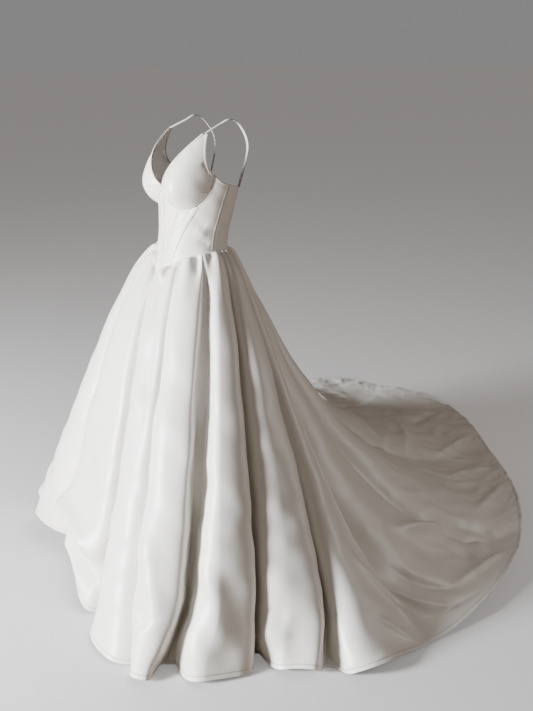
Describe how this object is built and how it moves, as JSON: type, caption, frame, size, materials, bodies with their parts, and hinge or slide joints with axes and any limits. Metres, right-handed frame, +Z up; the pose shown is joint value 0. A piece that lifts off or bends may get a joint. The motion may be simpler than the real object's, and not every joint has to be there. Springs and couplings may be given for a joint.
{
  "type": "wedding dress",
  "caption": "Sleeveless ivory satin wedding dress, hollow as worn, with thin straps, two-part cups, a boned basque bodice and a full pleated skirt that ends in a long train",
  "frame": {"origin": "Centre of the waist, where the wearer's body holds the dress up; the floor the hem stands on is 1.06 m below", "axes": "+Z up, the wearer faces -Y, +X is the wearer's left, and the train runs to +Y and turns to the wearer's right"},
  "size_m": [2.0739, 2.1339, 1.4661],
  "materials": {
    "ivory_satin": "heavy ivory satin with a soft sheen",
    "zip_tape": "woven tape, matt"
  },
  "bodies": {
    "root": {"bodice_front_left": "ivory_satin", "bodice_front_right": "ivory_satin", "bodice_front_middle_left": "ivory_satin", "bodice_front_middle_right": "ivory_satin", "bodice_side_front_left": "ivory_satin", "bodice_side_front_right": "ivory_satin", "bodice_back_side_left": "ivory_satin", "bodice_back_side_right": "ivory_satin", "bodice_back_left": "ivory_satin", "bodice_back_right": "ivory_satin", "cup_upper_left": "ivory_satin", "cup_upper_right": "ivory_satin", "cup_lower_inner_left": "ivory_satin", "cup_lower_inner_right": "ivory_satin", "cup_lower_outer_left": "ivory_satin", "cup_lower_outer_right": "ivory_satin", "channel_centre_front": "ivory_satin", "channel_left": "ivory_satin", "channel_right": "ivory_satin", "neck_binding_left": "ivory_satin", "neck_binding_right": "ivory_satin", "arm_binding_left": "ivory_satin", "arm_binding_right": "ivory_satin", "strap_left": "ivory_satin", "strap_right": "ivory_satin", "zip_tape_back": "zip_tape", "skirt_front": "ivory_satin", "skirt_front_left": "ivory_satin", "skirt_side_front_left": "ivory_satin", "skirt_side_left": "ivory_satin", "skirt_back_left": "ivory_satin", "skirt_train_left": "ivory_satin", "skirt_train_right": "ivory_satin", "skirt_back_right": "ivory_satin", "skirt_side_right": "ivory_satin", "skirt_front_right": "ivory_satin"}
  },
  "joints": []
}
